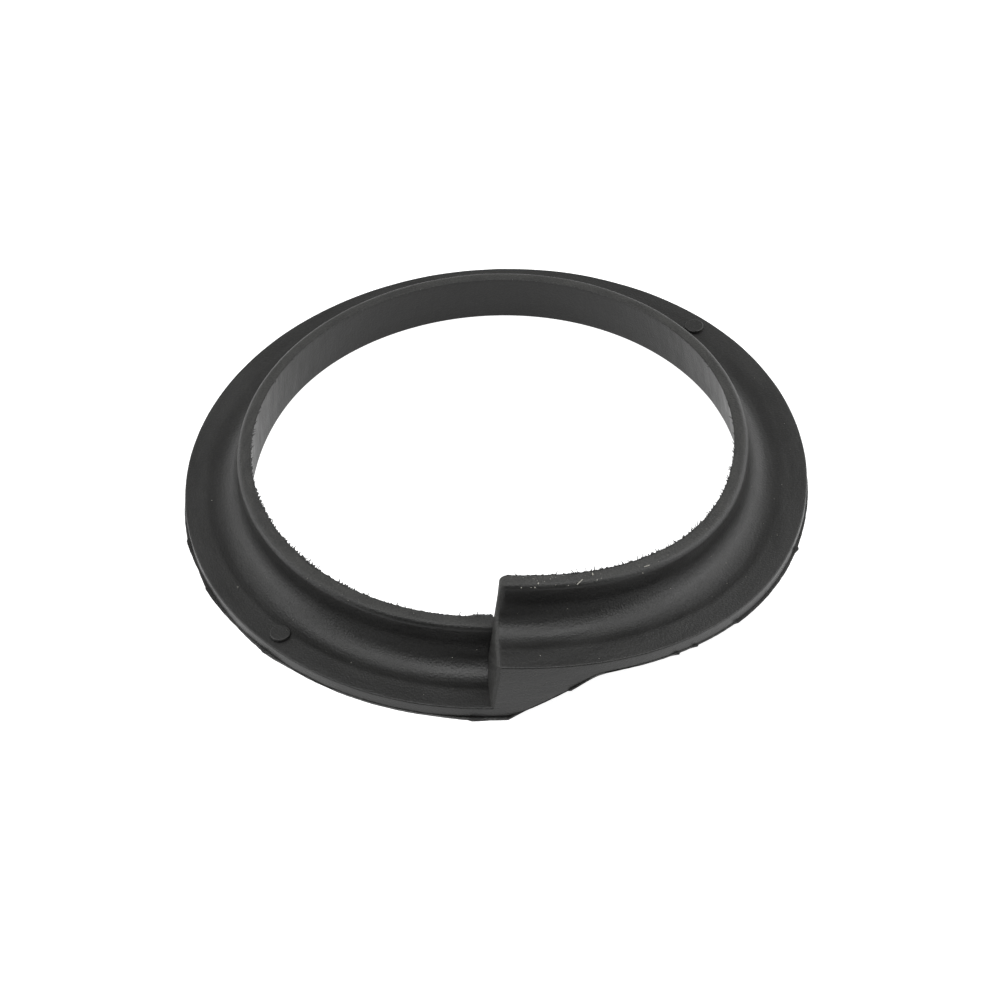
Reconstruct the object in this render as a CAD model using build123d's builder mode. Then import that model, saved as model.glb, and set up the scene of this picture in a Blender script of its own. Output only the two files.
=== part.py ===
from build123d import *

import os
from math import cos, radians, sin, sqrt

# Upper spring mount: the one-piece rubber seat between a car's coil spring and the body above it.
# It is drawn with the face that holds the spring upwards, as it lies on a table.
# Millimetres, +Z up. The origin is on the axis of the ring, level with the flat underside.
# Angles are degrees around the ring, clockwise seen from above, from the step, which faces -Y.

# Collar, which stands inside the spring's end coil, and the tapered hole through it
collar_diameter = 130.4
collar_height = 15.0
collar_shoulder_radius = 1.6
rim_wall = 3.6
hole_taper = 2.3

# Flange, the flat rim that carries the spring, from the collar's side out to its edge
flange_width = 14.8
flange_thickness = 3.6

# Groove for the wire, between the collar and the flange
groove_radius = 6.6
groove_depth = 0.4

# Climb of the whole section, and the step that stops the end of the wire
step_height = 15.0
climb_turn = 75.0
climb_blend = 36.0
full_turn = 360.0
climb_start = full_turn - climb_turn
step_lean = 10.0
step_foot = 4.9
step_edge_radius = 1.4
step_edge_share = 0.7

# Wedge that fills the space under the high end, down to the underside
wedge_angle = 15.5
wedge_blend = 1.5

# Two round pips on the flange
pip_diameter = 5.1
pip_height = 1.0
pip_inset = 4.2
near_pip_angle = 45.0
far_pip_angle = 229.0

# How finely the climb is drawn, and how far it runs on before the step is cut
section_spacing = 6.0
overrun = 6.0

clockwise = Axis((0, 0, 0), (0, 0, -1))


def rise(angle):
    """Height of the section above the underside: level, then a blend, then an even slope."""
    travelled = max(angle - climb_start, 0.0)
    slope = step_height / (climb_turn - climb_blend / 2)
    if travelled < climb_blend:
        return slope * travelled**2 / (2 * climb_blend)
    return slope * (travelled - climb_blend / 2)


def underside(angle):
    """Height of the lower face: it follows the climb, then comes down the wedge to the step."""
    wedge_top = rise(full_turn - wedge_angle)
    ramp = wedge_top * (full_turn - angle) / wedge_angle
    gap = ramp - rise(angle)
    return (ramp + rise(angle) - sqrt(gap**2 + wedge_blend**2)) / 2


def radial_plane(angle, height):
    """Upright plane through the axis, with its X along the radius and its Y up."""
    turn = radians(angle)
    return Plane(origin=(0, 0, height), x_dir=(-sin(turn), -cos(turn), 0), z_dir=(-cos(turn), sin(turn), 0))


def seat_section(drop=0.0):
    """Section of the ring, radius by height, with its lower face carried down by drop."""
    flank = collar_diameter / 2
    rim = flank - rim_wall
    foot = rim + hole_taper
    edge = flank + flange_width
    groove_centre = flank + groove_radius
    groove_floor = flange_thickness - groove_depth
    lip = groove_centre + sqrt(groove_radius**2 - (groove_radius - groove_depth) ** 2)
    with BuildSketch() as section:
        with BuildLine():
            wall = Polyline((flank, groove_floor + groove_radius), (flank, collar_height), (rim, collar_height),
                            (foot, -drop), (edge, -drop), (edge, flange_thickness), (lip, flange_thickness))
            RadiusArc(wall @ 1, wall @ 0, groove_radius)
        make_face()
        fillet(section.vertices().group_by(Axis.Y)[-1].sort_by(Axis.X)[-1], collar_shoulder_radius)
    return section.sketch


# The climbing end, drawn past the step and then cut back to its leaning face
with BuildPart() as climb:
    sections = round((full_turn + overrun - climb_start) / section_spacing)
    for number in range(sections + 1):
        angle = climb_start + (full_turn + overrun - climb_start) * number / sections
        with BuildSketch(radial_plane(angle, rise(angle))):
            add(seat_section(rise(angle) - underside(angle)))
    loft()
    lean = radians(step_lean)
    step_face = Plane(origin=(-step_foot, 0, 0), x_dir=(0, 1, 0), z_dir=(cos(lean), 0, -sin(lean)))
    split(bisect_by=step_face, keep=Keep.TOP)
    split(bisect_by=Plane.XY, keep=Keep.TOP)
    step_edges = climb.faces().filter_by(step_face).edges().sort_by(Axis.Z)
    flat_top = rim_wall - collar_shoulder_radius
    fillet(step_edges[1:], min(step_edge_radius, step_edge_share * flat_top))

# The whole mount
with BuildPart() as upper_spring_mount:
    with BuildSketch(radial_plane(0, 0)):
        add(seat_section())
    revolve(axis=clockwise, revolution_arc=climb_start)
    add(climb.part)
    for angle in (near_pip_angle, far_pip_angle):
        pip_distance = collar_diameter / 2 + flange_width - pip_inset
        centre = radial_plane(angle, 0).x_dir * pip_distance
        with BuildSketch(Plane(origin=centre + Vector(0, 0, flange_thickness / 2))):
            Circle(pip_diameter / 2)
        extrude(amount=flange_thickness / 2 + pip_height)

os.makedirs("parts", exist_ok=True)
upper_spring_mount.part.label = "upper_spring_mount"
export_step(upper_spring_mount.part, "parts/upper_spring_mount.step")
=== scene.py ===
import math
import random

import bmesh
import bpy
from mathutils import Matrix, Vector


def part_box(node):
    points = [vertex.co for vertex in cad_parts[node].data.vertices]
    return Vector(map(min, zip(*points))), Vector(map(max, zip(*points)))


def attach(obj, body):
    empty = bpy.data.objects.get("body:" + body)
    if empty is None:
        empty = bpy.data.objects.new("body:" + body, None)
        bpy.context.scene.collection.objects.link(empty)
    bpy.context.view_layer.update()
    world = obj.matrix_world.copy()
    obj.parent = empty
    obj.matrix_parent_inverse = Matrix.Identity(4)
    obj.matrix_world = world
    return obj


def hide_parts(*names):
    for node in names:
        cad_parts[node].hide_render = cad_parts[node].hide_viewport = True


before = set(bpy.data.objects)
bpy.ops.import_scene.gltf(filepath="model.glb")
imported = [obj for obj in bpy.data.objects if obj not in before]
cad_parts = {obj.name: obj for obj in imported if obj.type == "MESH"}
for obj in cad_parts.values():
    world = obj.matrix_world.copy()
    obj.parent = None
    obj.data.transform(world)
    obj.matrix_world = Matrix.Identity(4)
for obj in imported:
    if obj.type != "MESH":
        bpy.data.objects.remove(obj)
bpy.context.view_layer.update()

bl_info = {
    "name": "Upper spring mount",
    "version": (1, 0, 0),
    "blender": (4, 5, 0),
    "location": "View3D > Sidebar > Spring mount",
    "description": "Models the moulded rubber seat of a coil spring, with its flash, dust and stage",
    "category": "Object",
}

NODE = "upper_spring_mount"
MM = 0.001
FULL_TURN = math.radians(360)

# Distances below which points count as one, or as lying in one plane
NEAR = MM / 100
IN_PLANE = MM / 50
CAP_MERGE = MM / 500
SEAM_MERGE = MM / 2000
RIBBON_MERGE = MM / 10000

# The ring is spun in sectors that end at these angles from the step, in degrees, so that each pip has its own
SECTOR_CUTS = (10, 40, 50, 137, 224, 234, 289, 330)

# The rounding of the step: how many rings draw it, and how far in its middle lies, as a share of its radius
ROUND_SEGMENTS = 6
ROUND_INSET = 1 - math.cos(math.radians(45))

# The first end of the ring under the high end: how much it shrinks, as a share, and how far it is lifted
TUCK_SHARE = 0.25
TUCK_LIFT = 0.3 * MM

# How far before the step the rings begin to lean, and from where on they lean as the step does
LEAN_START = math.radians(30)
LEAN_END = math.radians(4)

# Rounds in which a point's climb and its lean are fitted to each other
FITTING_ROUNDS = 4

# The round pips: sides, and the rounding of their upper edge
PIP_SIDES = 48
PIP_EDGE = 0.3 * MM
PIP_EDGE_SEGMENTS = 3

# Which faces belong where. A face looks out, in or up from SIDEWAYS on, and down below DOWNWARDS
SIDEWAYS = 0.9
DOWNWARDS = -0.5
SMOOTH_ANGLE = math.radians(35)

# The step's face looks at least this far to its side, within this many times the distance of its foot
STEP_SIDE = 0.3
STEP_REACH = 2

# The outer wall starts at this share of the outer radius, the torn rim with its painted light ends at this
# share of the shoulder
WALL_SHARE = 0.98
TORN_PAINTED_LIGHTER_SHARE = 0.6

# The floor, and the light of its own that it adds for the camera and in reflections
FLOOR_SIZE = 3.0
FLOOR_LIFT = 0.92
FLOOR_GLOSS_LIFT = 0.55

# The tent of white cloth is dark on the camera's side and lighter behind, and fades between these directions
TENT_FRONT = 0.08
TENT_BACK = 0.36
TENT_FADE = (-0.3, 0.6)

# The floor's glow in reflections, a painted reflection of the white card, fades out towards the front between
# these two places along Y, where the card ends
CARD_GLOW_EDGE = (-0.125, -0.08)

# The white backdrop, as reflections show it: its light, its upper edge, and how far back it sets in
BACKDROP = 0.8
BACKDROP_EDGE = (0.3, 0.1)
BACKDROP_SIDES = (0.1, 0.5)

# Each lamp's place and size in metres, and its power in watts. All look at the middle of the table
LAMPS = (
    ("right_high_lamp", (0.55, 0.0, 0.95), (0.7, 0.45), 2.9),
    ("right_low_lamp", (1.0, 0.0, 0.36), (0.8, 0.6), 4.0),
    ("left_high_lamp", (-0.55, 0.0, 0.95), (0.7, 0.45), 2.7),
    ("left_low_lamp", (-1.0, 0.0, 0.36), (0.8, 0.6), 3.4),
    ("top_lamp", (0.0, -0.24, 1.07), (0.7, 0.6), 5.0),
    ("back_right_lamp", (0.74, 0.76, 0.3), (0.6, 0.35), 1.4),
    ("back_left_lamp", (-0.74, 0.76, 0.3), (0.6, 0.35), 0.7),
)

# How the soft ring departs from its drawing: the flange is a little too wide, and more so on one side
OUT_OF_ROUND = 0.2 * MM
LOBE = 0.32 * MM
LOBE_TURN = math.radians(255)

# That sets in outside the groove, over this many times the flange's thickness
WANDER_BLEND = 1.5

# The foot of the hole bulges inwards at one place
FOOT_BULGE = 1.1 * MM
FOOT_BULGE_TURN = math.radians(104)
FOOT_BULGE_SPREAD = math.radians(22)

# The high end sinks from this angle on
SAG = 0.7 * MM
SAG_START = math.radians(346)

# Slow waves of the moulded surface
WAVE_SIZE = 11 * MM
WAVE_HEIGHT = 0.16 * MM

# Width in millimetres of the flash that stands out from the flange's lower edge, by angle from the step
SKIRT = ((0, 0.85), (3, 0.8), (6, 1.1), (6.6, 0.8), (12, 0.35), (40, 0.25), (46.2, 0.85), (46.8, 0.6),
         (54, 0.35), (64.9, 1.0), (65.5, 0.75), (70, 0.4), (77.6, 1.0), (78.2, 0.7), (86, 0.55), (91, 0.3),
         (94, 0.05), (125, 0.05), (150, 0.3), (240, 0.3), (258, 0.1), (270, 0.2), (278, 0.45), (292.5, 0.5),
         (293.3, 1.0), (294.5, 0.55), (315.8, 0.65), (316.4, 0.3), (325.2, 0.3), (325.6, 0.7), (327, 0.3),
         (329.2, 0.3), (329.5, 0.7), (331, 0.3), (340, 0.2), (346, 0.3), (349.4, 0.65), (349.7, 0.15),
         (357, 0.1), (359, 0.6), (360, 0.85))
SKIRT_RINGS = 1440
SKIRT_SIDES = 6
SKIRT_THICKNESS = 0.32 * MM

# How far the skirt's root reaches into the wall, how thick its torn edge and its middle are, and how much of
# its width its lower side has
SKIRT_ROOT = 2 * SKIRT_THICKNESS
SKIRT_TIP = SKIRT_THICKNESS / 3
SKIRT_MIDDLE = SKIRT_THICKNESS * 0.8
SKIRT_BELOW = 0.9

# How ragged its edge is, evened out over so many rings, and how narrow it may become
SKIRT_RAGGED = 0.07 * MM
SKIRT_EVENED = 4
SKIRT_LEAST = 0.02 * MM

# How torn the flash at the rim is, by angle from the step
TORN = ((0, 0.5), (8.2, 0.5), (16, 0.4), (30, 0.8), (45, 1.3), (85, 1.4), (100, 0.5), (150, 0.2),
        (250, 0.3), (280, 0.8), (300, 1.0), (325, 1.1), (335, 0.9), (346, 0.7), (360, 0.6))

# Height in millimetres of the flap of flash that stands whole on the rim's first end
FLAP = ((0, 0.4), (5.8, 0.5), (7.4, 0.15), (7.8, 0.0), (360, 0.0))

# The flash at the rim: rings round the rim and down the step, and how many of them one tooth takes
RIM_RINGS = 2400
RIM_DOWN_RINGS = 60
RIM_SIDES = 4
TOOTH_RINGS = 2

# Its height where it is torn by 1, the least and the rest of a tooth's share of that, and its sway to a side
RIM_FLASH = 0.24 * MM
TOOTH_LEAST = 0.4
TOOTH_RANGE = 1.8
TOOTH_SWAY = 0.25

# Its thickness, and how deep it is rooted behind the edge and below it
RIM_FLASH_THICKNESS = 0.14 * MM
RIM_FLASH_BACK = 0.6 * RIM_FLASH_THICKNESS
RIM_FLASH_ROOT = 0.1 * MM

# Which way it points: out from the axis, along the ring and up
RIM_FLASH_WAY = Vector((-0.75, 0.0, 0.65))
STEP_FLASH_WAY = Vector((-0.6, 0.8, 0.0))

# Whiskers of rubber, which start with their root a little below the edge and lean at random
WHISKERS = 110
WHISKER_SIDES = 5
WHISKER_LENGTH = (0.5 * MM, 1.3 * MM)
WHISKER_RADIUS = 0.13 * MM
WHISKER_MIDDLE = 0.45
WHISKER_OUT = (-0.2, 0.4)
WHISKER_UP = (-0.3, 0.5)
WHISKER_ALONG = (-0.7, 0.7)

# Grain of the rubber: finer in truth, drawn this coarse so that it shows
GRAIN = 0.5 * MM
GRAIN_HEIGHT = 0.16 * MM
MARK_HEIGHT = 0.25 * MM

# How much the grain adds to the mottle, and between which values mottle and marks run from dark to pale
GRAIN_SHARE = 0.8
MOTTLE = (0.75, 1.1)
MARKS = (0.35, 0.65)

# Radius at which marks that run round the ring are drawn in their pattern: a small one makes them long
MARK_RING = 14 * MM

# Height of an upright streak's pattern: a small share makes them long
STREAK_SHARE = 0.2
RUBBER_INDEX = 1.52

# Dust: single crumbs as angle from the step in degrees, radius and size in millimetres
CRUMBS = ((352.2, 64.2, 0.3), (353.8, 64.9, 0.17), (353.0, 64.9, 0.17), (355.8, 64.9, 0.15),
          (352.8, 62.9, 0.12), (349.4, 63.0, 0.12), (348.6, 64.6, 0.11), (346.0, 64.8, 0.11),
          (339.6, 64.5, 0.19), (339.8, 62.9, 0.16), (329.0, 65.1, 0.2), (45.4, 64.9, 0.12),
          (46.0, 70.4, 0.12), (60.0, 74.6, 0.16), (85.0, 73.0, 0.16), (49.6, 67.9, 0.12),
          (353.8, 76.4, 0.13), (293.6, 75.8, 0.14), (306.0, 68.6, 0.13), (310.6, 72.4, 0.11),
          (10.6, 66.7, 0.15), (5.6, 65.6, 0.12), (344.0, 79.0, 0.12))

# Fine dust, as angles and radii between which it lies, and how many crumbs of it
DUSTY = ((336, 357, 61.9, 66.0, 26), (300, 336, 61.9, 66.0, 12), (5, 60, 62.0, 78.0, 14),
         (200, 330, 66.0, 78.0, 14))
CRUMB_SIZE = (0.05, 0.11)

# A crumb is this much narrower one way and flatter the other, turned at random, and lies this far in the air
CRUMB_WIDTH = (0.5, 1)
CRUMB_FLAT = 0.7
CRUMB_TURN = (0, 3)
CRUMB_LIFT = 1 / 3

# Fibres as angle from the step, radius in millimetres, heading in degrees and length in millimetres
FIBRES = ((343.4, 64.4, 50, 2.0), (339.9, 62.7, 80, 0.8), (327.4, 64.3, 25, 1.6))
FIBRE_RADIUS = 0.09 * MM
FIBRE_SIDES = 6
LINT_TUFT = 0.3 * MM

LOW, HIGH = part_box(NODE)
OUTER_RADIUS = (HIGH.x - LOW.x) / 2


def length(name, text, value):
    """A size in metres that a user can change."""
    return bpy.props.FloatProperty(name=name, description=text, default=value, unit="LENGTH", precision=5)


def turn(name, text, degrees):
    """An angle that a user can change."""
    return bpy.props.FloatProperty(name=name, description=text, default=math.radians(degrees),
                                   unit="ROTATION")


def colour(name, text, code):
    """A colour that a user can change, given as sRGB hex."""
    return bpy.props.FloatVectorProperty(name=name, description=text, default=linear(code), size=4,
                                         subtype="COLOR", min=0.0, max=1.0)


def linear(code):
    """Linear red, green, blue and alpha of an sRGB hex colour."""
    parts = [int(code[i:i + 2], 16) / 255 for i in (1, 3, 5)]
    return tuple(p / 12.92 if p <= 0.04045 else ((p + 0.055) / 1.055) ** 2.4 for p in parts) + (1.0,)


class SeatSizes(bpy.types.PropertyGroup):
    """Sizes of the moulded ring."""
    collar_radius: length("Collar radius", "Outside of the collar, where the spring's coil fits", 65.2 * MM)
    collar_height: length("Collar height", "From the underside to the rim", 15.0 * MM)
    shoulder: length("Shoulder", "Rounding of the collar's outer top edge", 1.6 * MM)
    rim_radius: length("Rim radius", "Hole at the rim", 61.6 * MM)
    foot_radius: length("Foot radius", "Hole at the underside", 63.75 * MM)
    flange_thickness: length("Flange thickness", "Thickness of the flat rim", 3.6 * MM)
    flange_edge: length("Flange edge", "Rounding of the flange's upper edge", 0.35 * MM)
    small_edge: length("Small edge", "Rounding of the edges that the mould left nearly sharp", 0.25 * MM)
    groove_radius: length("Groove radius", "Radius of the groove for the wire", 6.6 * MM)
    groove_depth: length("Groove depth", "How far the groove dips below the flange's top", 0.4 * MM)
    step_height: length("Step height", "How far the section climbs in its last part", 15.0 * MM)
    climb_turn: turn("Climb", "The part of the turn that climbs", 75.0)
    climb_blend: turn("Climb blend", "The part of the climb that eases in", 36.0)
    step_foot: length("Step foot", "Distance of the step's foot from the plane through the axis", 4.65 * MM)
    step_lean: turn("Step lean", "How far the step leans back", 9.0)
    step_edge: length("Step edge", "Rounding of the step's edges", 1.45 * MM)
    wedge_turn: turn("Wedge", "The part of the turn that the wedge under the high end takes", 15.5)
    wedge_blend: length("Wedge blend", "Rounding where the wedge leaves the climbing underside", 1.5 * MM)
    pip_radius: length("Pip radius", "Half the width of the two round pips", 2.55 * MM)
    pip_height: length("Pip height", "Height of the pips above the flange", 1.0 * MM)
    pip_distance: length("Pip distance", "Distance of the pips from the axis", 75.8 * MM)
    near_pip: turn("Near pip", "Angle of the first pip from the step", 45.0)
    far_pip: turn("Far pip", "Angle of the second pip from the step", 229.0)
    ring_step: turn("Ring step", "Turn between two rings of the mesh", 0.5)
    grid: length("Grid", "Longest straight edge of the section's mesh", 1.3 * MM)
    seed: bpy.props.IntProperty(name="Seed", default=7,
                                description="Chooses another tear of the flash and fall of the dust")


class Finish(bpy.types.PropertyGroup):
    """Colours of the rubber and of what lies on it."""
    rubber: colour("Rubber", "Carbon black rubber as it left the mould", "#191918")
    bloom: colour("Bloom", "Rubber with a thin grey bloom of wax", "#232322")
    # Paler rubber for the rim top and the step's face: partly scuffing where the flash was torn off, partly
    # painted light that brightens these faces
    scuff_and_painted_light: colour("Scuff", "Rubber scuffed grey where the flash was torn off", "#343432")
    lint: colour("Lint", "Fibres and crumbs of dust", "#d8d6cc")
    dull_lint: colour("Dull lint", "Dust that the rubber has darkened", "#8a8880")


class StageSettings(bpy.types.PropertyGroup):
    """Camera, and the colours of floor and backdrop."""
    camera_height: turn("Camera height", "Angle of the camera above the table", 44.87)
    camera_distance: length("Camera distance", "From the camera to the origin", 560.0 * MM)
    camera_roll: turn("Camera roll", "Turn of the camera about its own axis, clockwise", 3.23)
    lens: bpy.props.FloatProperty(name="Lens", description="Focal length on a sensor 36 mm wide",
                                  default=78.33, subtype="DISTANCE_CAMERA")
    shift: bpy.props.FloatVectorProperty(name="Shift", default=(0.0009, -0.0190), size=2,
                                         description="Shift of the picture, as a share of its width")
    background: colour("Background", "Floor and backdrop as the camera sees them", "#ffffff")
    card: colour("Card", "White card of the floor", "#c8c8c8")


def alone(obj):
    """Make obj the only selected object, and the active one."""
    if bpy.context.object and bpy.context.object.mode != "OBJECT":
        bpy.ops.object.mode_set(mode="OBJECT")
    bpy.ops.object.select_all(action="DESELECT")
    obj.select_set(True)
    bpy.context.view_layer.objects.active = obj


def pick(obj, test, kind="VERT"):
    """In edit mode, select only the vertices, edges or faces that pass a test."""
    bpy.ops.mesh.select_mode(type=kind)
    bpy.ops.mesh.select_all(action="DESELECT")
    mesh = bmesh.from_edit_mesh(obj.data)
    for item in {"VERT": mesh.verts, "EDGE": mesh.edges, "FACE": mesh.faces}[kind]:
        item.select_set(bool(test(item)))
    mesh.select_flush_mode()
    bmesh.update_edit_mesh(obj.data)


def in_place(radius, angle, height):
    """Point in space at that radius, angle from the step and height."""
    return Vector((-radius * math.sin(angle), -radius * math.cos(angle), height))


def tangent(angle):
    """Direction in which the angle from the step grows."""
    return Vector((-math.cos(angle), math.sin(angle), 0.0))


def polar(point):
    """Radius, angle from the step and height of a point."""
    return math.hypot(point.x, point.y), math.atan2(-point.x, -point.y) % FULL_TURN, point.z


def smooth_step(share):
    """From 0 to 1 with level ends."""
    share = min(max(share, 0.0), 1.0)
    return share * share * (3 - 2 * share)


def rise(sizes, angle):
    """Height of the section above the underside: level, then a blend, then a slope that sinks at its end."""
    travelled = max(angle - (FULL_TURN - sizes.climb_turn), 0.0)
    slope = sizes.step_height / (sizes.climb_turn - sizes.climb_blend / 2)
    if travelled < sizes.climb_blend:
        return slope * travelled**2 / (2 * sizes.climb_blend)
    return slope * (travelled - sizes.climb_blend / 2) - sagged(angle)


def sagged(angle):
    """How far the soft end of the climb has sunk, close to the step."""
    return SAG * (max(angle - SAG_START, 0.0) / (FULL_TURN - SAG_START)) ** 2


def warped(sizes, radius, angle, height):
    """Radius of a point of the soft ring, whose flange and foot of the hole aren't quite round."""
    if radius > sizes.collar_radius:
        outside = radius - sizes.collar_radius - sizes.groove_radius
        share = smooth_step(outside / (WANDER_BLEND * sizes.flange_thickness))
        return radius + share * (OUT_OF_ROUND + LOBE * math.cos(angle - LOBE_TURN))
    if radius < sizes.foot_radius + sizes.small_edge:
        away = (angle - FOOT_BULGE_TURN) / FOOT_BULGE_SPREAD
        share = max(1 - height / sizes.collar_height, 0.0)
        return radius - FOOT_BULGE * share * math.exp(-away * away)
    return radius


def underside(sizes, angle):
    """Height of the lower face: it follows the climb, then comes down the wedge to the step."""
    ramp = rise(sizes, FULL_TURN - sizes.wedge_turn) * (FULL_TURN - angle) / sizes.wedge_turn
    climb = rise(sizes, angle)
    return max((ramp + climb - math.hypot(ramp - climb, sizes.wedge_blend)) / 2, 0.0)


def add_section(sizes):
    """The outline of the ring's section on the plane at the step, drawn corner by corner and then rounded.

    A corner has its radius and height, the length that its rounding takes and the rounding's segments.
    """
    lip_turn = math.acos(1 - sizes.groove_depth / sizes.groove_radius)
    lip_length = sizes.groove_radius * math.tan(lip_turn / 2)
    floor = sizes.flange_thickness - sizes.groove_depth
    bend = sizes.collar_radius + sizes.groove_radius + lip_length
    lip = bend + lip_length * math.cos(lip_turn)
    corners = [
        (sizes.rim_radius, sizes.collar_height, sizes.small_edge, 2),
        (sizes.collar_radius, sizes.collar_height, sizes.shoulder, 6),
        (sizes.collar_radius, floor, sizes.groove_radius, 16),
        (bend, floor, lip_length, 4),
        (lip, sizes.flange_thickness, 0, 0),
        (OUTER_RADIUS, sizes.flange_thickness, sizes.flange_edge, 3),
        (OUTER_RADIUS, 0.0, sizes.small_edge, 2),
        (sizes.foot_radius, 0.0, sizes.small_edge, 2),
    ]
    bpy.ops.object.select_all(action="DESELECT")
    bpy.ops.mesh.primitive_plane_add(size=MM, enter_editmode=True)
    section = bpy.context.object
    bpy.ops.mesh.select_mode(type="VERT")
    bpy.ops.mesh.select_all(action="SELECT")
    bpy.ops.mesh.merge(type="CENTER")
    here = Vector((0, 0, 0))
    for number, (radius, height, _, _) in enumerate(corners):
        place = Vector((0, -radius, height))
        if number == 0:
            bpy.ops.transform.translate(value=place - here)
        else:
            bpy.ops.mesh.extrude_region_move(TRANSFORM_OT_translate={"value": place - here})
        here = place
    bpy.ops.mesh.select_all(action="SELECT")
    bpy.ops.mesh.edge_face_add()
    for radius, height, offset, segments in corners:
        if offset:
            corner = Vector((0, -radius, height))
            pick(section, lambda v: (v.co - corner).length < NEAR)
            bpy.ops.mesh.bevel(offset=offset, segments=segments, affect="VERTICES",
                               clamp_overlap=False)
    bpy.ops.mesh.select_all(action="SELECT")
    bpy.ops.mesh.delete(type="ONLY_FACE")
    bpy.ops.mesh.select_all(action="SELECT")
    bpy.ops.mesh.remove_doubles(threshold=NEAR)
    while any(e.calc_length() > sizes.grid for e in bmesh.from_edit_mesh(section.data).edges):
        pick(section, lambda e: e.calc_length() > sizes.grid, "EDGE")
        bpy.ops.mesh.subdivide(number_cuts=1)
    return section


def outline_of(section):
    """Each point of the section as radius and height, and how it moves when every side moves in by one."""
    mesh = section.data
    beside = {v.index: [] for v in mesh.vertices}
    for edge in mesh.edges:
        first, second = edge.vertices
        beside[first].append(second)
        beside[second].append(first)
    order = [0, beside[0][0]]
    while len(order) < len(mesh.vertices):
        order.append(next(n for n in beside[order[-1]] if n != order[-2]))
    points = [Vector((-mesh.vertices[i].co.y, mesh.vertices[i].co.z)) for i in order]
    area = sum(points[i - 1].cross(points[i]) for i in range(len(points)))
    side = 1 if area > 0 else -1
    inward = []
    for i, point in enumerate(points):
        before = (point - points[i - 1]).normalized()
        after = (points[(i + 1) % len(points)] - point).normalized()
        one = Vector((-before.y, before.x)) * side
        two = Vector((-after.y, after.x)) * side
        inward.append((point, (one + two) / (1 + one.dot(two))))
    return inward


def inset(sizes, inward, radius, height, amount):
    """A point of the section after every side has moved in by amount."""
    if amount <= 0:
        return radius, height
    here = Vector((radius, height))
    move = min(inward, key=lambda entry: (entry[0] - here).length_squared)[1]
    new_radius = radius + move.x * amount
    new_height = height + move.y * amount
    on_collar = radius < sizes.collar_radius + NEAR
    if on_collar or radius > sizes.collar_radius + sizes.groove_radius:
        top = sizes.collar_height if on_collar else sizes.flange_thickness
        new_height = min(new_height, top - amount)
    return min(new_radius, OUTER_RADIUS - amount), new_height


def lowered(sizes, radius, height):
    """How much of the drop under the high end a point takes: none on top, all underneath."""
    bottom = sizes.small_edge
    if height <= bottom + NEAR:
        return 1.0
    if radius > OUTER_RADIUS - sizes.flange_edge:
        top = sizes.flange_thickness - sizes.flange_edge
    elif radius < sizes.foot_radius + sizes.small_edge:
        top = sizes.collar_height - sizes.small_edge
    else:
        return 0.0
    return max((top - height) / (top - bottom), 0.0)


def step_angle(sizes, radius, height, distance):
    """Angle at which a circle of that radius and height comes that near to the step's leaning face."""
    level = (distance + height * math.sin(sizes.step_lean)) / math.cos(sizes.step_lean)
    return FULL_TURN - math.asin((level - sizes.step_foot) / radius)


def tucked(sizes, radius, angle, height):
    """The first end of the ring shrinks a little where the high end covers it."""
    edge = step_angle(sizes, radius, height, sizes.step_edge) - FULL_TURN
    if angle >= edge:
        return radius, height
    share = smooth_step((edge - angle) / edge)
    middle = (sizes.collar_radius + OUTER_RADIUS) / 2
    return radius + (middle - radius) * TUCK_SHARE * share, height + TUCK_LIFT * share


def climbed(sizes, radius, angle, height, share, lean, distance):
    """Where a point goes: up by the climb, and round to its distance from the leaning step."""
    final, tall = angle, height
    for _ in range(FITTING_ROUNDS):
        climb = rise(sizes, final)
        tall = height + climb - share * (climb - underside(sizes, final))
        if lean > 0:
            final = angle + lean * (step_angle(sizes, radius, tall, distance) - angle)
    return final, tall


def add_sector(sizes, start, end):
    """A sector of the ring: the section spun about the axis, then each of its rings put in its place."""
    pitch = sizes.ring_step * (sizes.collar_radius + sizes.groove_radius)
    at_step = end >= FULL_TURN
    rings = round((end - start) / sizes.ring_step)
    if at_step:
        rings = math.floor(rings - sizes.step_edge / pitch)
    steps = rings + (ROUND_SEGMENTS + 1 if at_step else 0)
    sector = add_section(sizes)
    bpy.ops.object.mode_set(mode="OBJECT")
    inward = outline_of(sector)
    bpy.ops.object.mode_set(mode="EDIT")
    bpy.ops.mesh.select_all(action="SELECT")
    bpy.ops.mesh.spin(steps=steps, angle=steps * sizes.ring_step, center=(0, 0, 0),
                      axis=(0, 0, 1))
    bpy.ops.object.mode_set(mode="OBJECT")
    for vertex in sector.data.vertices:
        radius, angle, height = polar(vertex.co)
        ring = round(angle / sizes.ring_step) % round(FULL_TURN / sizes.ring_step)
        share = lowered(sizes, radius, height)
        angle = start + min(ring, rings) * sizes.ring_step
        distance = (FULL_TURN - angle) / sizes.ring_step * pitch
        lean = smooth_step((angle - FULL_TURN + LEAN_START) / (LEAN_START - LEAN_END))
        if ring > rings:
            around = math.radians(90) * (ring - rings - 1) / ROUND_SEGMENTS
            distance = sizes.step_edge * (1 - math.sin(around))
            angle, lean = FULL_TURN, 1.0
            amount = sizes.step_edge * (1 - math.cos(around))
            radius, height = inset(sizes, inward, radius, height, amount)
        radius = warped(sizes, radius, angle, height)
        if angle < LEAN_START:
            radius, height = tucked(sizes, radius, angle, height)
        angle, height = climbed(sizes, radius, angle, height, share, lean, distance)
        vertex.co = in_place(radius, angle, height)
    return sector


def close_ends(obj):
    """Close the open ends of a sector."""
    alone(obj)
    bpy.ops.object.mode_set(mode="EDIT")
    pick(obj, lambda e: e.is_boundary, "EDGE")
    bpy.ops.mesh.edge_face_add()
    bpy.ops.mesh.select_all(action="SELECT")
    bpy.ops.mesh.remove_doubles(threshold=CAP_MERGE)
    bpy.ops.mesh.normals_make_consistent(inside=False)
    bpy.ops.object.mode_set(mode="OBJECT")


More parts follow.
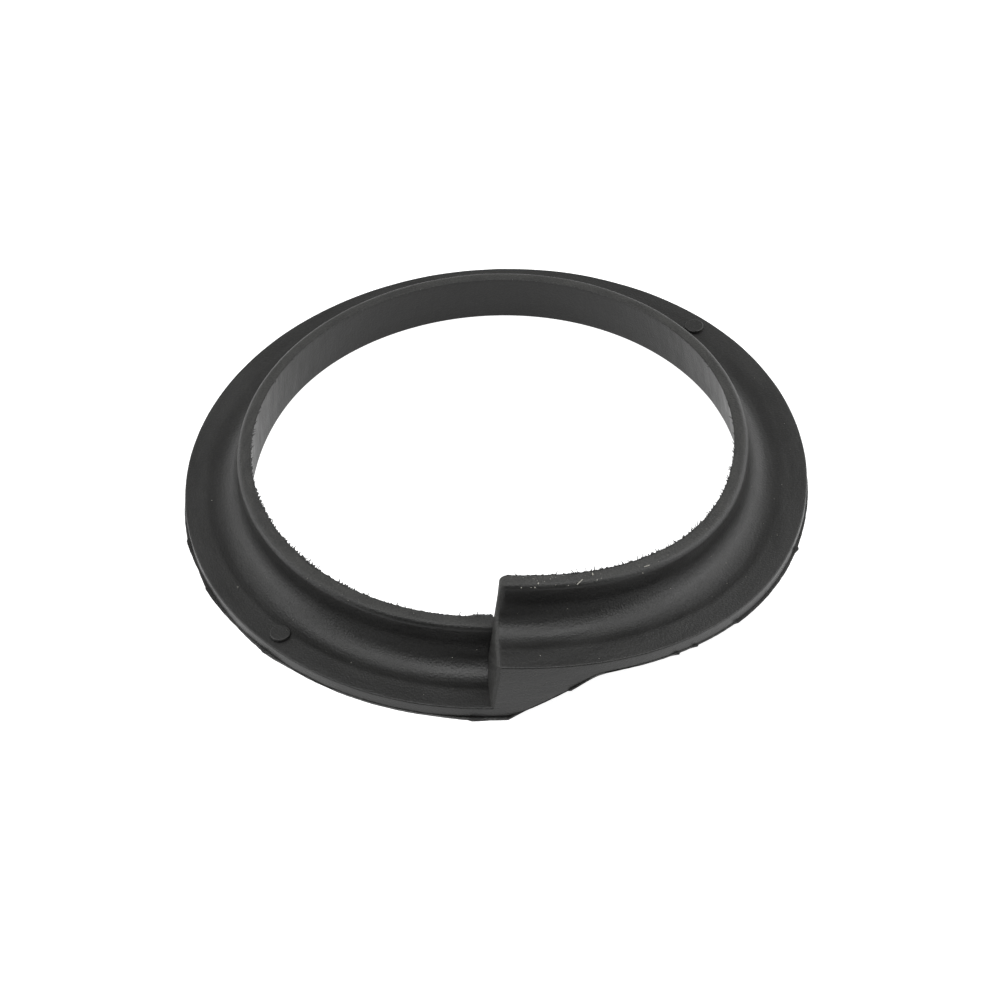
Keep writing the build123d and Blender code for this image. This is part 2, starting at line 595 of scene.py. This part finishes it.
def open_ends(obj, *angles):
    """Take away the flat faces that close a sector at these angles, so that the next one can be joined."""
    ways = [tangent(angle) for angle in angles]

    def closing(face):
        level = any(all(abs(v.co.dot(way)) < IN_PLANE for v in face.verts) for way in ways)
        return level and face.calc_area() > MM * MM

    alone(obj)
    bpy.ops.object.mode_set(mode="EDIT")
    pick(obj, closing, "FACE")
    bpy.ops.mesh.delete(type="ONLY_FACE")
    bpy.ops.object.mode_set(mode="OBJECT")


def add_pip(sizes, angle):
    """A round pip on the flange, with its upper edge broken."""
    depth = sizes.pip_height + sizes.flange_thickness / 2
    place = in_place(sizes.pip_distance, angle, sizes.flange_thickness / 2 + depth / 2)
    bpy.ops.object.select_all(action="DESELECT")
    bpy.ops.mesh.primitive_cylinder_add(vertices=PIP_SIDES, radius=sizes.pip_radius, depth=depth,
                                        location=place)
    pip = bpy.context.object
    bpy.ops.object.transform_apply()
    bpy.ops.object.mode_set(mode="EDIT")
    top = sizes.flange_thickness + sizes.pip_height
    pick(pip, lambda e: all(abs(v.co.z - top) < NEAR for v in e.verts), "EDGE")
    bpy.ops.mesh.bevel(offset=PIP_EDGE, segments=PIP_EDGE_SEGMENTS)
    bpy.ops.object.mode_set(mode="OBJECT")
    return pip


def apply(obj, kind, **settings):
    """Add a modifier, set it up and apply it."""
    alone(obj)
    modifier = obj.modifiers.new(kind.lower(), kind)
    for name, value in settings.items():
        setattr(modifier, name, value)
    bpy.ops.object.modifier_apply(modifier=modifier.name)


def weld_in(obj, other):
    """Unite obj with another solid that overlaps it."""
    apply(obj, "BOOLEAN", operation="UNION", object=other, solver="EXACT")
    bpy.data.objects.remove(other)


def join(first, *others):
    """Join objects into the first."""
    alone(first)
    for other in others:
        other.select_set(True)
    bpy.ops.object.join()


def on_step(sizes, middle, normal):
    """Whether a face or a vertex belongs to the leaning face of the step."""
    return normal.x < -STEP_SIDE and abs(middle.x) < sizes.step_foot * STEP_REACH and middle.y < 0


def make_uneven(ring, sizes):
    """Slow waves of the moulded surface, everywhere but on the flat underside and the step's flat face."""
    moulded = ring.vertex_groups.new(name="moulded")
    wavy = [v.index for v in ring.data.vertices
            if v.normal.z > DOWNWARDS and not on_step(sizes, v.co, v.normal)]
    moulded.add(wavy, 1.0, "REPLACE")
    waves = bpy.data.textures.new("moulding_waves", "CLOUDS")
    waves.noise_scale = WAVE_SIZE
    apply(ring, "DISPLACE", texture=waves, texture_coords="LOCAL", strength=WAVE_HEIGHT,
          mid_level=0.5, vertex_group=moulded.name)
    bpy.data.textures.remove(waves)
    ring.vertex_groups.clear()


def facing(face):
    """How far a face looks away from the axis: 1 outwards, -1 inwards."""
    middle = face.calc_center_median()
    return face.normal.xy.dot(middle.xy.normalized())


def reach(face):
    """Distance of a face from the axis."""
    return face.calc_center_median().xy.length


def finish_piece(obj, material):
    """Give a piece its material, and say what it rides on and takes its finish from."""
    obj.data.materials.clear()
    obj.data.materials.append(material)
    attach(obj, "root")


def cover(obj, material, test):
    """Give the faces that pass a test a material of their own."""
    obj.data.materials.append(material)
    alone(obj)
    bpy.ops.object.mode_set(mode="EDIT")
    pick(obj, test, "FACE")
    obj.active_material_index = len(obj.data.materials) - 1
    bpy.ops.object.material_slot_assign()
    bpy.ops.object.mode_set(mode="OBJECT")


class MOUNT_OT_ring(bpy.types.Operator):
    """Model the rubber ring: its sectors, the step where the last one covers the first, and the pips"""
    bl_idname = "mount.ring"
    bl_label = "Rubber ring"

    def execute(self, context):
        sizes = context.scene.seat_sizes
        cuts = [math.radians(d) for d in SECTOR_CUTS]
        ring = add_sector(sizes, 0.0, cuts[0])
        close_ends(ring)
        high_end = add_sector(sizes, cuts[-1], FULL_TURN)
        close_ends(high_end)
        weld_in(ring, high_end)
        open_ends(ring, cuts[0], cuts[-1])
        for start, end in zip(cuts, cuts[1:]):
            sector = add_sector(sizes, start, end)
            pips = [a for a in (sizes.near_pip, sizes.far_pip) if start < a < end]
            if pips:
                close_ends(sector)
                weld_in(sector, add_pip(sizes, pips[0]))
                open_ends(sector, start, end)
            join(ring, sector)
        ring.name = ring.data.name = "rubber_ring"
        alone(ring)
        bpy.ops.object.mode_set(mode="EDIT")
        bpy.ops.mesh.select_all(action="SELECT")
        bpy.ops.mesh.remove_doubles(threshold=SEAM_MERGE)
        bpy.ops.mesh.normals_make_consistent(inside=False)
        bpy.ops.object.mode_set(mode="OBJECT")
        make_uneven(ring, sizes)
        bpy.ops.object.shade_smooth_by_angle(angle=SMOOTH_ANGLE)
        apply(ring, "WEIGHTED_NORMAL", keep_sharp=True)
        finish = context.scene.seat_finish
        wall = WALL_SHARE * OUTER_RADIUS
        rim = sizes.collar_radius - sizes.shoulder * TORN_PAINTED_LIGHTER_SHARE

        # The rim's upward faces and the step's face get the paler rubber: partly torn, scuffed rubber, partly
        # painted light that brightens them
        def is_torn_or_painted_lighter(face):
            on_rim = face.normal.z > SIDEWAYS and reach(face) < rim
            return on_rim or on_step(sizes, face.calc_center_median(), face.normal)

        finish_piece(ring, groove_rubber(finish))
        cover(ring, wall_rubber(finish), lambda f: facing(f) > SIDEWAYS and reach(f) > wall)
        cover(ring, bore_rubber(finish), lambda f: facing(f) < -SIDEWAYS and reach(f) < sizes.collar_radius)
        cover(ring, torn_and_painted_lighter_rubber(finish), is_torn_or_painted_lighter)
        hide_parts(NODE)
        return {"FINISHED"}


def node(tree, kind, settings=None, **links):
    """Add a shader node with its settings, and link or set its inputs.

    An input goes by its name, with _ for a space, or by its number after a _.
    """
    new = tree.nodes.new(kind)
    for name, value in (settings or {}).items():
        setattr(new, name, value)
    for name, value in links.items():
        entry = new.inputs[int(name[1:]) if name[1:].isdigit() else name.replace("_", " ")]
        if isinstance(value, bpy.types.NodeSocket):
            tree.links.new(value, entry)
        else:
            entry.default_value = value
    return new


def new_material(name):
    """An empty node material and its tree."""
    material = bpy.data.materials.new(name)
    material.use_nodes = True
    material.node_tree.nodes.clear()
    return material, material.node_tree


def round_the_ring(tree, place):
    """Coordinates that draw a pattern out around the ring, and keep its scale across the section."""
    flat = node(tree, "ShaderNodeVectorMath", {"operation": "MULTIPLY"}, _0=place, _1=(1, 1, 0))
    flat = flat.outputs["Vector"]
    out = node(tree, "ShaderNodeVectorMath", {"operation": "LENGTH"}, _0=flat).outputs["Value"]
    way = node(tree, "ShaderNodeVectorMath", {"operation": "NORMALIZE"}, _0=flat).outputs["Vector"]
    circle = node(tree, "ShaderNodeVectorMath", {"operation": "SCALE"}, _0=way, Scale=MARK_RING)
    up = node(tree, "ShaderNodeSeparateXYZ", Vector=place).outputs["Z"]
    slant = node(tree, "ShaderNodeMath", {"operation": "SUBTRACT"}, _0=out, _1=up).outputs["Value"]
    section = node(tree, "ShaderNodeCombineXYZ", Z=slant)
    both = node(tree, "ShaderNodeVectorMath", {"operation": "ADD"}, _0=circle.outputs["Vector"],
                _1=section.outputs["Vector"])
    return both.outputs["Vector"]


def upright(tree, place):
    """Coordinates in which a pattern is drawn out along the axis."""
    return node(tree, "ShaderNodeMapping", Vector=place, Scale=(1, 1, STREAK_SHARE)).outputs["Vector"]


def rubber(name, drawn, marks, dark, pale, rough, relief, grain, index=RUBBER_INDEX):
    """Rubber filled with carbon black: marks drawn out one way, between two colours and two glosses."""
    material, tree = new_material(name)
    place = node(tree, "ShaderNodeTexCoord").outputs["Object"]
    cloud = node(tree, "ShaderNodeTexNoise", Vector=drawn(tree, place), Scale=1 / marks, Detail=5.0,
                 Roughness=0.65).outputs["Fac"]
    pores = node(tree, "ShaderNodeTexNoise", Vector=place, Scale=1 / GRAIN, Detail=2.0,
                 Roughness=0.6).outputs["Fac"]
    mottle = node(tree, "ShaderNodeMath", {"operation": "MULTIPLY_ADD"}, _0=pores, _1=GRAIN_SHARE, _2=cloud)
    patchy = node(tree, "ShaderNodeMapRange", Value=mottle.outputs["Value"], From_Min=MOTTLE[0],
                  From_Max=MOTTLE[1])
    tone = node(tree, "ShaderNodeMix", {"data_type": "RGBA"}, Factor=patchy.outputs["Result"], _6=dark,
                _7=pale)
    gloss = node(tree, "ShaderNodeMapRange", Value=cloud, From_Min=MARKS[0], From_Max=MARKS[1],
                 To_Min=rough[0], To_Max=rough[1])
    marked = node(tree, "ShaderNodeBump", Strength=relief, Distance=MARK_HEIGHT, Height=cloud)
    bump = node(tree, "ShaderNodeBump", Strength=grain, Distance=GRAIN_HEIGHT, Height=pores,
                Normal=marked.outputs["Normal"])
    shader = node(tree, "ShaderNodeBsdfPrincipled", Base_Color=tone.outputs[2],
                  Roughness=gloss.outputs["Result"], IOR=index, Normal=bump.outputs["Normal"])
    node(tree, "ShaderNodeOutputMaterial", Surface=shader.outputs["BSDF"])
    return material


def groove_rubber(finish):
    # Styrene butadiene rubber with carbon black, moulded against blasted steel: satin, with drawn out
    # patches of wax bloom
    return rubber("moulded_black_rubber", round_the_ring, marks=5 * MM, dark=finish.rubber,
                  pale=finish.bloom, rough=(0.38, 0.5), relief=0.5, grain=0.7)


def torn_and_painted_lighter_rubber(finish):
    # The same rubber where the flash was torn off the rim, and on the step's face: rough, matt and scuffed a
    # little grey, and paler still as painted light that brightens these faces
    return rubber("torn_and_painted_lighter_black_rubber", round_the_ring, marks=2 * MM, dark=finish.bloom,
                  pale=finish.scuff_and_painted_light, rough=(0.5, 0.65), relief=0.4, grain=1.0)


def wall_rubber(finish):
    # The same rubber against the turned rim of the mould: smoother, with fine marks round the ring
    return rubber("turned_wall_black_rubber", round_the_ring, marks=2 * MM, dark=finish.rubber,
                  pale=finish.bloom, rough=(0.24, 0.34), relief=0.3, grain=0.4)


def bore_rubber(finish):
    # The same rubber drawn off the mould's core: upright streaks, and a skin that mirrors less when it
    # is seen straight on
    return rubber("drawn_bore_black_rubber", upright, marks=3 * MM, dark=finish.rubber,
                  pale=finish.bloom, rough=(0.28, 0.4), relief=0.4, grain=0.4, index=1.38)


def add_ribbon(name, rings, sides, place):
    """A thin closed strip: a grid whose points go, ring by ring and corner by corner, to their place."""
    bpy.ops.object.select_all(action="DESELECT")
    bpy.ops.mesh.primitive_grid_add(x_subdivisions=rings, y_subdivisions=sides, size=1)
    ribbon = bpy.context.object
    ribbon.name = ribbon.data.name = name
    for vertex in ribbon.data.vertices:
        ring = round((vertex.co.x + 0.5) * rings) % rings
        corner = round((vertex.co.y + 0.5) * sides) % sides
        vertex.co = place(ring, corner)
    bpy.ops.object.mode_set(mode="EDIT")
    bpy.ops.mesh.select_mode(type="VERT")
    bpy.ops.mesh.select_all(action="SELECT")
    bpy.ops.mesh.remove_doubles(threshold=RIBBON_MERGE)
    bpy.ops.mesh.normals_make_consistent(inside=False)
    bpy.ops.object.mode_set(mode="OBJECT")
    return ribbon


def along(stations, angle):
    """Value between stations given by angle from the step in degrees."""
    degrees = math.degrees(angle)
    for (start, low), (end, high) in zip(stations, stations[1:]):
        if start <= degrees <= end:
            return low + (high - low) * (degrees - start) / (end - start)
    return stations[-1][1]


class MOUNT_OT_skirt_flash(bpy.types.Operator):
    """Model the flash that the mould's joint left around the flange's lower edge, with its torn nubs"""
    bl_idname = "mount.skirt_flash"
    bl_label = "Skirt flash"

    def execute(self, context):
        sizes = context.scene.seat_sizes
        chance = random.Random(sizes.seed)
        ragged = [chance.uniform(-SKIRT_RAGGED, SKIRT_RAGGED) for _ in range(SKIRT_RINGS)]
        foot = sizes.small_edge / 5

        def place(ring, corner):
            """Corner of the skirt's section: its torn edge, its top, three at the root and its lower side."""
            angle = ring / SKIRT_RINGS * FULL_TURN
            wall = warped(sizes, OUTER_RADIUS, angle, 0.0)
            near = sum(ragged[ring - k] for k in range(SKIRT_EVENED)) / SKIRT_EVENED
            width = max(along(SKIRT, angle) * MM + near, SKIRT_LEAST)
            root = wall - SKIRT_ROOT
            radius, height = (
                (wall + width, SKIRT_TIP),
                (wall + width / 3, SKIRT_MIDDLE),
                (root, SKIRT_THICKNESS),
                (root, SKIRT_THICKNESS / 2),
                (root, foot),
                (wall + width * SKIRT_BELOW, foot),
            )[corner]
            return in_place(radius, angle, underside(sizes, angle) + height)

        skirt = add_ribbon("skirt_flash", SKIRT_RINGS, SKIRT_SIDES, place)
        bpy.ops.object.shade_smooth_by_angle(angle=SMOOTH_ANGLE)
        finish_piece(skirt, wall_rubber(context.scene.seat_finish))
        return {"FINISHED"}


class MOUNT_OT_rim_flash(bpy.types.Operator):
    """Model the torn flash and whiskers along the rim's inner edge and down the step's inner edge"""
    bl_idname = "mount.rim_flash"
    bl_label = "Rim flash"

    def execute(self, context):
        sizes = context.scene.seat_sizes
        chance = random.Random(sizes.seed + 1)
        first = FULL_TURN - step_angle(sizes, sizes.rim_radius, sizes.collar_height, 0.0)
        top = sizes.collar_height + rise(sizes, FULL_TURN)
        last = step_angle(sizes, sizes.rim_radius, top, sizes.step_edge)
        round_rings = RIM_RINGS - RIM_DOWN_RINGS
        teeth = [chance.random() ** 2 for _ in range(RIM_RINGS // TOOTH_RINGS + 1)]
        sways = [chance.uniform(-1, 1) for _ in range(RIM_RINGS)]

        def edge(ring):
            """Where the edge is at that ring, and which way its flash points."""
            if ring < round_rings:
                angle = -first + (last + first) * ring / (round_rings - 1)
                return sizes.rim_radius, angle, sizes.collar_height + rise(sizes, angle), RIM_FLASH_WAY
            down = (ring - round_rings + 1) / RIM_DOWN_RINGS
            start = top - sizes.step_edge / 2
            height = start - down * (start - sizes.collar_height)
            taper = (top - height) / top * (sizes.foot_radius - sizes.rim_radius)
            depth = sizes.step_edge * ROUND_INSET
            radius = sizes.rim_radius + taper + depth
            return radius, step_angle(sizes, radius, height, depth), height, STEP_FLASH_WAY

        def place(ring, corner):
            """Corner of the flash's thin section: its tip, one side, its root and the other side."""
            radius, angle, height, out = edge(ring)
            turned = max(angle, 0.0)
            tooth = TOOTH_LEAST + TOOTH_RANGE * teeth[ring // TOOTH_RINGS]
            tall = RIM_FLASH * along(TORN, turned) * tooth + along(FLAP, turned) * MM
            sway = sways[ring] * TOOTH_SWAY * tall if corner == 0 else 0.0
            half = RIM_FLASH_THICKNESS / 2
            far, aside = ((tall, 0.0), (0.0, half), (-RIM_FLASH_BACK, 0.0), (0.0, -half))[corner]
            side = Vector((out.z, 0.0, -out.x)) if out.z else Vector((out.y, -out.x, 0.0))
            move = out * far + side * aside
            point = in_place(radius + move.x, angle, height + move.z - RIM_FLASH_ROOT)
            return point + tangent(angle) * (move.y + sway)

        flash = add_ribbon("rim_flash", RIM_RINGS, RIM_SIDES, place)
        whiskers = []
        for _ in range(WHISKERS):
            ring = chance.randrange(round_rings)
            while chance.random() > along(TORN, max(edge(ring)[1], 0.0)) ** 2:
                ring = chance.randrange(round_rings)
            radius, angle, height, out = edge(ring)
            long = chance.uniform(*WHISKER_LENGTH)
            lean = Vector((out.x + chance.uniform(*WHISKER_OUT), 0, out.z + chance.uniform(*WHISKER_UP)))
            lean.normalize()
            middle = long * WHISKER_MIDDLE
            spot = in_place(radius + lean.x * middle, angle, height - RIM_FLASH_ROOT + lean.z * middle)
            way = in_place(lean.x, angle, lean.z) + tangent(angle) * chance.uniform(*WHISKER_ALONG)
            bpy.ops.object.select_all(action="DESELECT")
            bpy.ops.mesh.primitive_cone_add(vertices=WHISKER_SIDES, radius1=WHISKER_RADIUS,
                                            radius2=WHISKER_RADIUS / 2, depth=long, location=spot,
                                            rotation=way.to_track_quat("Z", "Y").to_euler())
            whiskers.append(context.object)
        join(flash, *whiskers)
        finish_piece(flash, groove_rubber(context.scene.seat_finish))
        return {"FINISHED"}


class MOUNT_OT_dust(bpy.types.Operator):
    """Scatter the crumbs of dust and the white fibres that lie on the rubber"""
    bl_idname = "mount.dust"
    bl_label = "Dust and fibres"

    def execute(self, context):
        sizes = context.scene.seat_sizes
        chance = random.Random(sizes.seed + 2)
        ring = bpy.data.objects["rubber_ring"]
        crumbs = list(CRUMBS)
        for start, end, near, far, count in DUSTY:
            for _ in range(count):
                crumbs.append((chance.uniform(start, end), chance.uniform(near, far),
                               chance.uniform(*CRUMB_SIZE)))
        pieces = []
        for degrees, radius, size in crumbs:
            point, normal = landing(ring, math.radians(degrees), radius * MM)
            bpy.ops.object.select_all(action="DESELECT")
            turned = [chance.uniform(*CRUMB_TURN) for _ in range(3)]
            scale = (1, chance.uniform(*CRUMB_WIDTH), CRUMB_FLAT)
            bpy.ops.mesh.primitive_ico_sphere_add(subdivisions=1, radius=size * MM, rotation=turned,
                                                  location=point + normal * size * MM * CRUMB_LIFT,
                                                  scale=scale)
            pieces.append(context.object)
        for degrees, radius, heading, long in FIBRES:
            point, normal = landing(ring, math.radians(degrees), radius * MM)
            heading = math.radians(heading)
            way = Vector((math.cos(heading), math.sin(heading), 0))
            way = (way - normal * way.dot(normal)).normalized()
            bpy.ops.object.select_all(action="DESELECT")
            bpy.ops.mesh.primitive_cylinder_add(vertices=FIBRE_SIDES, radius=FIBRE_RADIUS,
                                                depth=long * MM, location=point + normal * FIBRE_RADIUS,
                                                rotation=way.to_track_quat("Z", "Y").to_euler())
            pieces.append(context.object)
        join(*pieces)
        bpy.ops.object.transform_apply()
        dust = context.object
        dust.name = dust.data.name = "dust_and_fibres"
        finish_piece(dust, cotton_lint(context.scene.seat_finish))
        return {"FINISHED"}


def landing(ring, angle, radius):
    """Where something that falls on the ring comes to lie, and the surface's direction there."""
    above = in_place(radius, angle, 2 * HIGH.z)
    found, point, normal, _ = ring.ray_cast(above, (0, 0, -1))
    if not found:
        raise RuntimeError("nothing under a crumb of dust")
    return point, normal


def cotton_lint(finish):
    # Fluff of cotton and paper dust: dull, off white, a little uneven
    material, tree = new_material("cotton_lint")
    place = node(tree, "ShaderNodeTexCoord").outputs["Object"]
    tufts = node(tree, "ShaderNodeTexNoise", Vector=place, Scale=1 / LINT_TUFT, Detail=2.0)
    shade = node(tree, "ShaderNodeMix", {"data_type": "RGBA"}, Factor=tufts.outputs["Fac"],
                 _6=finish.dull_lint, _7=finish.lint)
    shader = node(tree, "ShaderNodeBsdfPrincipled", Base_Color=shade.outputs[2], Roughness=0.9)
    node(tree, "ShaderNodeOutputMaterial", Surface=shader.outputs["BSDF"])
    return material


class MOUNT_OT_stage(bpy.types.Operator):
    """Set up the table, the backdrop, the lamps and the camera"""
    bl_idname = "mount.stage"
    bl_label = "Stage"

    def execute(self, context):
        stage = context.scene.seat_stage
        bpy.ops.object.select_all(action="DESELECT")
        bpy.ops.mesh.primitive_plane_add(size=FLOOR_SIZE)
        floor = context.object
        floor.name = "floor"
        floor.data.materials.append(floor_material(stage))
        for name, place, size, power in LAMPS:
            light = bpy.data.lights.new(name, "AREA")
            light.shape = "RECTANGLE"
            light.size, light.size_y = size
            light.energy = power
            lamp = bpy.data.objects.new(name, light)
            lamp.location = place
            lamp.rotation_euler = (-Vector(place)).to_track_quat("-Z", "Y").to_euler()
            context.collection.objects.link(lamp)
        context.scene.world = white_tent(stage)
        data = bpy.data.cameras.new("camera")
        data.lens = stage.lens
        data.shift_x, data.shift_y = stage.shift
        camera = bpy.data.objects.new("camera", data)
        height = stage.camera_height
        back = Vector((0, -math.cos(height), math.sin(height)))
        tilt = Matrix.Rotation(math.radians(90) - height, 4, "X")
        tilt = tilt @ Matrix.Rotation(-stage.camera_roll, 4, "Z")
        camera.matrix_world = Matrix.Translation(back * stage.camera_distance) @ tilt
        context.collection.objects.link(camera)
        context.scene.camera = camera
        context.scene.view_settings.view_transform = "Standard"
        return {"FINISHED"}


def white_tent(stage):
    """The world: white to the camera. Elsewhere a dim tent, and a white backdrop low behind the table."""
    world = bpy.data.worlds.new("white_tent")
    world.use_nodes = True
    tree = world.node_tree
    tree.nodes.clear()
    path = node(tree, "ShaderNodeLightPath")
    way = node(tree, "ShaderNodeTexCoord").outputs["Generated"]
    axes = node(tree, "ShaderNodeSeparateXYZ", Vector=way)
    lit = node(tree, "ShaderNodeMapRange", Value=axes.outputs["Y"], From_Min=TENT_FADE[0],
               From_Max=TENT_FADE[1], To_Min=TENT_FRONT, To_Max=TENT_BACK)
    low = node(tree, "ShaderNodeMapRange", Value=axes.outputs["Z"], From_Min=BACKDROP_EDGE[0],
               From_Max=BACKDROP_EDGE[1], To_Max=BACKDROP)
    behind = node(tree, "ShaderNodeMapRange", Value=axes.outputs["Y"], From_Min=BACKDROP_SIDES[0],
                  From_Max=BACKDROP_SIDES[1])
    white = node(tree, "ShaderNodeMath", {"operation": "MULTIPLY_ADD"}, _0=low.outputs["Result"],
                 _1=behind.outputs["Result"], _2=lit.outputs["Result"])
    seen = node(tree, "ShaderNodeMix", {"data_type": "FLOAT"}, Factor=path.outputs["Is Camera Ray"],
                _2=white.outputs["Value"], _3=1.0)
    tent = node(tree, "ShaderNodeBackground", Color=stage.background, Strength=seen.outputs[0])
    node(tree, "ShaderNodeOutputWorld", Surface=tent.outputs["Background"])
    return world


def floor_material(stage):
    """A sheet of card that the camera sees as white, that keeps the object's shadow, and that glows in
    reflections behind its front edge as painted light.
    """
    material, tree = new_material("matt_white_card")
    path = node(tree, "ShaderNodeLightPath")
    card = node(tree, "ShaderNodeBsdfDiffuse", Color=stage.card)
    through = node(tree, "ShaderNodeMath", {"operation": "MAXIMUM"}, _0=path.outputs["Is Glossy Ray"],
                   _1=path.outputs["Is Transmission Ray"])
    place = node(tree, "ShaderNodeTexCoord").outputs["Object"]
    back = node(tree, "ShaderNodeSeparateXYZ", Vector=place).outputs["Y"]
    # Painted reflection: the card glows for glossy rays, fading out towards the front
    lit = node(tree, "ShaderNodeMapRange", Value=back, From_Min=CARD_GLOW_EDGE[0], From_Max=CARD_GLOW_EDGE[1],
               To_Max=FLOOR_GLOSS_LIFT)
    mirrored = node(tree, "ShaderNodeMath", {"operation": "MULTIPLY"}, _0=through.outputs[0],
                    _1=lit.outputs["Result"])
    lift = node(tree, "ShaderNodeMath", {"operation": "MULTIPLY_ADD"}, _0=path.outputs["Is Camera Ray"],
                _1=FLOOR_LIFT, _2=mirrored.outputs[0])
    glow = node(tree, "ShaderNodeEmission", Color=stage.background, Strength=lift.outputs[0])
    both = node(tree, "ShaderNodeAddShader", _0=card.outputs["BSDF"], _1=glow.outputs["Emission"])
    node(tree, "ShaderNodeOutputMaterial", Surface=both.outputs["Shader"])
    return material


class MOUNT_PT_panel(bpy.types.Panel):
    """The mount's pieces and its stage"""
    bl_idname = "MOUNT_PT_panel"
    bl_label = "Spring mount"
    bl_space_type = "VIEW_3D"
    bl_region_type = "UI"
    bl_category = "Spring mount"

    def draw(self, context):
        for each in OPERATORS:
            self.layout.operator(each.bl_idname)


OPERATORS = (MOUNT_OT_ring, MOUNT_OT_skirt_flash, MOUNT_OT_rim_flash, MOUNT_OT_dust, MOUNT_OT_stage)
CLASSES = (SeatSizes, Finish, StageSettings, *OPERATORS, MOUNT_PT_panel)


def register():
    for each in CLASSES:
        bpy.utils.register_class(each)
    bpy.types.Scene.seat_sizes = bpy.props.PointerProperty(type=SeatSizes)
    bpy.types.Scene.seat_finish = bpy.props.PointerProperty(type=Finish)
    bpy.types.Scene.seat_stage = bpy.props.PointerProperty(type=StageSettings)


def unregister():
    del bpy.types.Scene.seat_sizes
    del bpy.types.Scene.seat_finish
    del bpy.types.Scene.seat_stage
    for each in reversed(CLASSES):
        bpy.utils.unregister_class(each)


def main():
    """Build the mount and its stage."""
    register()
    bpy.ops.mount.ring()
    bpy.ops.mount.skirt_flash()
    bpy.ops.mount.rim_flash()
    bpy.ops.mount.dust()
    bpy.ops.mount.stage()


if __name__ == "__main__":
    main()
